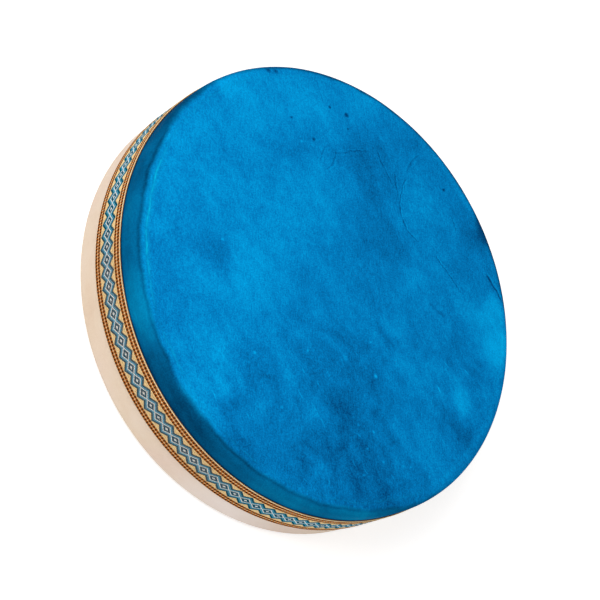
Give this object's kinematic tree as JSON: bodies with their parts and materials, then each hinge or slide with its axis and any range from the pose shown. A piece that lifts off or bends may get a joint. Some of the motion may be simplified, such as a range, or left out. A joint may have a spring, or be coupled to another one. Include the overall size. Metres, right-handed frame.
{
  "type": "ocean drum",
  "caption": "Flat two-headed hide drum on a bent wooden hoop with a woven ribbon round the side and loose steel beads inside that roll like surf when it is tilted.",
  "frame": {"origin": "middle of the natural head's outer face, which the drum lies on", "axes": "+Z along the drum's axis towards the dyed head; the ribbon's lap is at +Y"},
  "size_m": [0.3078, 0.3086, 0.071],
  "materials": {
    "hoop_wood": "bare bent wood, fine sanded",
    "natural_hide": "natural scraped hide, matt",
    "dyed_hide": "hide dyed blue, mottled, satin",
    "ribbon": "woven jacquard ribbon",
    "bead_steel": "bright steel balls"
  },
  "bodies": {
    "drum": {"frame_hoop": "hoop_wood", "bottom_head": "natural_hide", "top_head": "dyed_hide", "trim_ribbon": "ribbon"},
    "bead_row_01": {"bead_row_01": "bead_steel"},
    "bead_row_02": {"bead_row_02": "bead_steel"},
    "bead_row_03": {"bead_row_03": "bead_steel"},
    "bead_row_04": {"bead_row_04": "bead_steel"},
    "bead_row_05": {"bead_row_05": "bead_steel"},
    "bead_row_06": {"bead_row_06": "bead_steel"},
    "bead_row_07": {"bead_row_07": "bead_steel"},
    "bead_row_08": {"bead_row_08": "bead_steel"},
    "bead_row_09": {"bead_row_09": "bead_steel"},
    "bead_row_10": {"bead_row_10": "bead_steel"},
    "bead_row_11": {"bead_row_11": "bead_steel"},
    "bead_row_12": {"bead_row_12": "bead_steel"},
    "bead_row_13": {"bead_row_13": "bead_steel"},
    "bead_row_14": {"bead_row_14": "bead_steel"},
    "bead_row_15": {"bead_row_15": "bead_steel"},
    "bead_row_16": {"bead_row_16": "bead_steel"},
    "bead_row_17": {"bead_row_17": "bead_steel"},
    "bead_row_18": {"bead_row_18": "bead_steel"},
    "bead_row_19": {"bead_row_19": "bead_steel"},
    "bead_row_20": {"bead_row_20": "bead_steel"},
    "bead_row_21": {"bead_row_21": "bead_steel"},
    "bead_row_22": {"bead_row_22": "bead_steel"},
    "bead_row_23": {"bead_row_23": "bead_steel"},
    "bead_row_24": {"bead_row_24": "bead_steel"}
  },
  "joints": [
    {"name": "bead_row_01_roll", "type": "slide", "parent": "drum", "child": "bead_row_01", "axis": [1, 0, 0], "range_m": [-0.02, 0.02]},
    {"name": "bead_row_02_roll", "type": "slide", "parent": "drum", "child": "bead_row_02", "axis": [1, 0, 0], "range_m": [-0.07361, 0.02196]},
    {"name": "bead_row_03_roll", "type": "slide", "parent": "drum", "child": "bead_row_03", "axis": [1, 0, 0], "range_m": [-0.01329, 0.11758]},
    {"name": "bead_row_04_roll", "type": "slide", "parent": "drum", "child": "bead_row_04", "axis": [1, 0, 0], "range_m": [-0.12854, 0.0287]},
    {"name": "bead_row_05_roll", "type": "slide", "parent": "drum", "child": "bead_row_05", "axis": [1, 0, 0], "range_m": [-0.07658, 0.10141]},
    {"name": "bead_row_06_roll", "type": "slide", "parent": "drum", "child": "bead_row_06", "axis": [1, 0, 0], "range_m": [-0.05554, 0.13909]},
    {"name": "bead_row_07_roll", "type": "slide", "parent": "drum", "child": "bead_row_07", "axis": [1, 0, 0], "range_m": [-0.18433, 0.02366]},
    {"name": "bead_row_08_roll", "type": "slide", "parent": "drum", "child": "bead_row_08", "axis": [1, 0, 0], "range_m": [-0.03169, 0.18691]},
    {"name": "bead_row_09_roll", "type": "slide", "parent": "drum", "child": "bead_row_09", "axis": [1, 0, 0], "range_m": [-0.14453, 0.08225]},
    {"name": "bead_row_10_roll", "type": "slide", "parent": "drum", "child": "bead_row_10", "axis": [1, 0, 0], "range_m": [-0.15187, 0.08088]},
    {"name": "bead_row_11_roll", "type": "slide", "parent": "drum", "child": "bead_row_11", "axis": [1, 0, 0], "range_m": [-0.0326, 0.20405]},
    {"name": "bead_row_12_roll", "type": "slide", "parent": "drum", "child": "bead_row_12", "axis": [1, 0, 0], "range_m": [-0.21037, 0.02822]},
    {"name": "bead_row_13_roll", "type": "slide", "parent": "drum", "child": "bead_row_13", "axis": [1, 0, 0], "range_m": [-0.07141, 0.16718]},
    {"name": "bead_row_14_roll", "type": "slide", "parent": "drum", "child": "bead_row_14", "axis": [1, 0, 0], "range_m": [-0.09805, 0.13861]},
    {"name": "bead_row_15_roll", "type": "slide", "parent": "drum", "child": "bead_row_15", "axis": [1, 0, 0], "range_m": [-0.19251, 0.04024]},
    {"name": "bead_row_16_roll", "type": "slide", "parent": "drum", "child": "bead_row_16", "axis": [1, 0, 0], "range_m": [-0.02342, 0.20335]},
    {"name": "bead_row_17_roll", "type": "slide", "parent": "drum", "child": "bead_row_17", "axis": [1, 0, 0], "range_m": [-0.16569, 0.05291]},
    {"name": "bead_row_18_roll", "type": "slide", "parent": "drum", "child": "bead_row_18", "axis": [1, 0, 0], "range_m": [-0.10738, 0.10061]},
    {"name": "bead_row_19_roll", "type": "slide", "parent": "drum", "child": "bead_row_19", "axis": [1, 0, 0], "range_m": [-0.04244, 0.15219]},
    {"name": "bead_row_20_roll", "type": "slide", "parent": "drum", "child": "bead_row_20", "axis": [1, 0, 0], "range_m": [-0.16011, 0.01788]},
    {"name": "bead_row_21_roll", "type": "slide", "parent": "drum", "child": "bead_row_21", "axis": [1, 0, 0], "range_m": [-0.0303, 0.12694]},
    {"name": "bead_row_22_roll", "type": "slide", "parent": "drum", "child": "bead_row_22", "axis": [1, 0, 0], "range_m": [-0.07246, 0.05841]},
    {"name": "bead_row_23_roll", "type": "slide", "parent": "drum", "child": "bead_row_23", "axis": [1, 0, 0], "range_m": [-0.0696, 0.02598]},
    {"name": "bead_row_24_roll", "type": "slide", "parent": "drum", "child": "bead_row_24", "axis": [1, 0, 0], "range_m": [-0.00439, 0.03561]}
  ]
}
